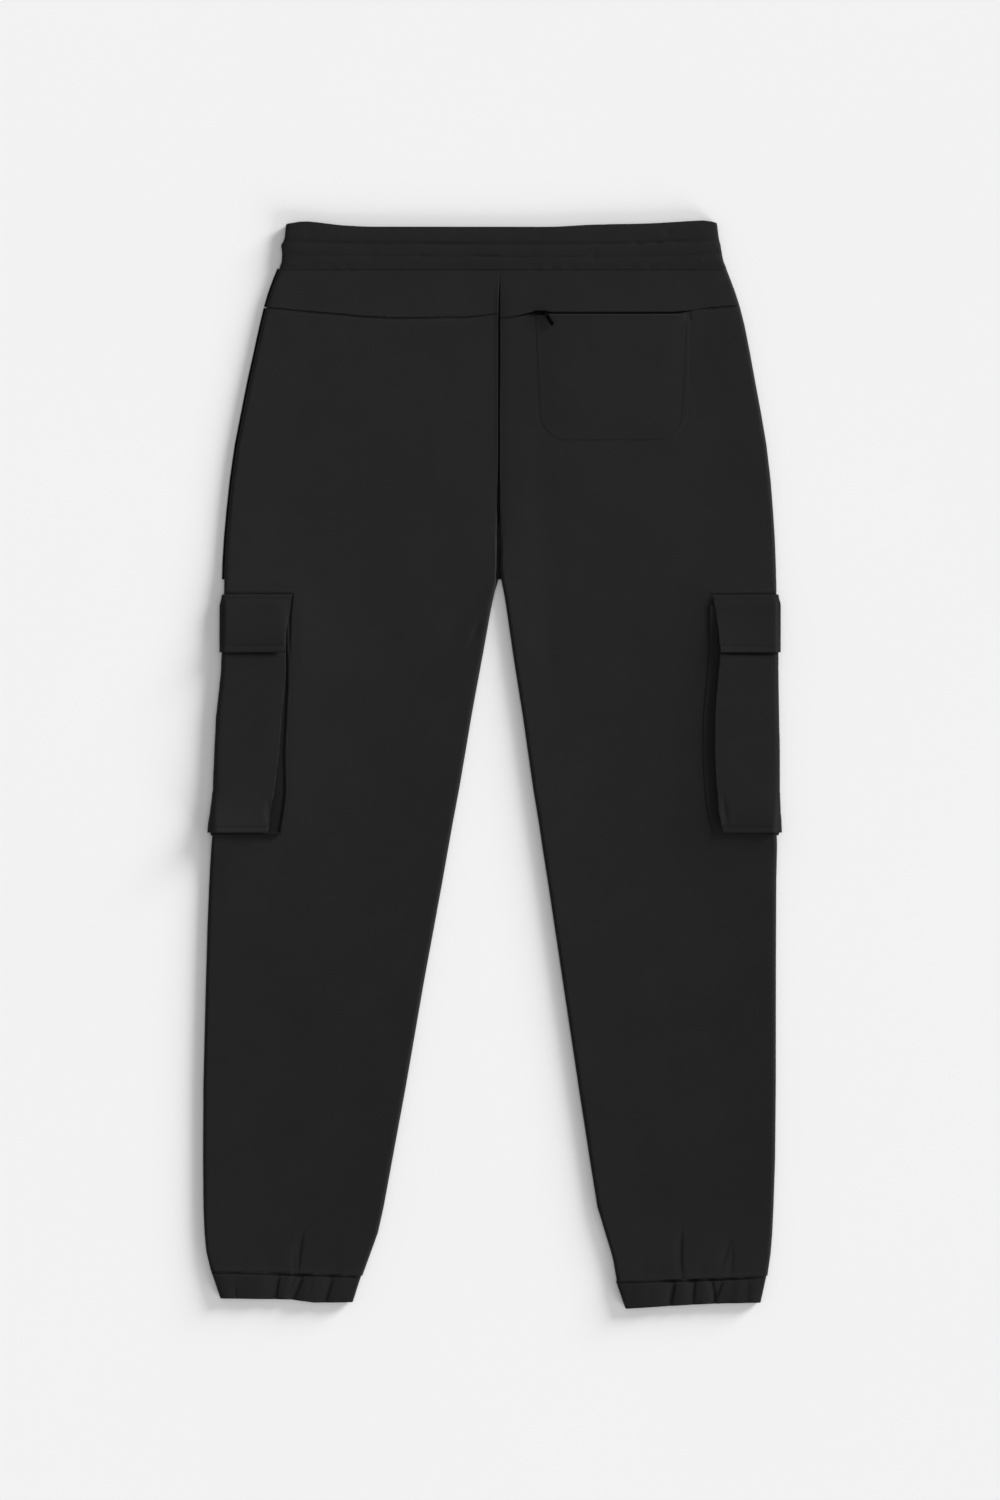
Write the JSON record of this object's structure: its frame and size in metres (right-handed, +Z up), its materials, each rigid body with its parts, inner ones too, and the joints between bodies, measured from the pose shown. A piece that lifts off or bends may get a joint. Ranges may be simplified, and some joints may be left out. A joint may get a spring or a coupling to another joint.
{
  "type": "jogger sweatpants laid flat, back uppermost",
  "caption": "Plain dark fleece jogger sweatpants laid flat on their front: ribbed elastic waistband, tapered legs, gathered cuffs, flapped side cargo pockets and a zipped hip pocket.",
  "frame": {"origin": "middle of the footprint of the laid garment, on the surface it lies on", "axes": "+Y towards the waistband, +X towards the wearer's right leg, +Z up through the back of the garment"},
  "size_m": [0.55, 1.0328, 0.0205],
  "materials": {
    "fleece": "matte brushed knit fleece, charcoal black",
    "band": "matte gathered knit over elastic, charcoal black",
    "pocket": "matte knit, charcoal black",
    "zip_tape": "woven tape, black",
    "zip_metal": "satin black coated metal"
  },
  "bodies": {
    "garment": {"back_left": "fleece", "back_right": "fleece", "front_left": "fleece", "front_right": "fleece", "yoke_left": "fleece", "yoke_right": "fleece", "waistband": "band", "cuff_left": "band", "cuff_right": "band", "back_pocket": "pocket", "cargo_face_left": "pocket", "cargo_face_right": "pocket", "cargo_flap_left": "pocket", "cargo_flap_right": "pocket", "cargo_gusset_left": "pocket", "cargo_gusset_right": "pocket", "zip_tape": "zip_tape", "zip_slider": "zip_metal"},
    "zip_pull": {"zip_pull": "zip_metal"}
  },
  "joints": [
    {"name": "zip_pull_swing", "type": "hinge", "parent": "garment", "child": "zip_pull", "pos_m": [0.04965, 0.42914, 0.0096], "axis": [-0.8541, -0.5201, 0], "range_deg": [0, 180]}
  ]
}
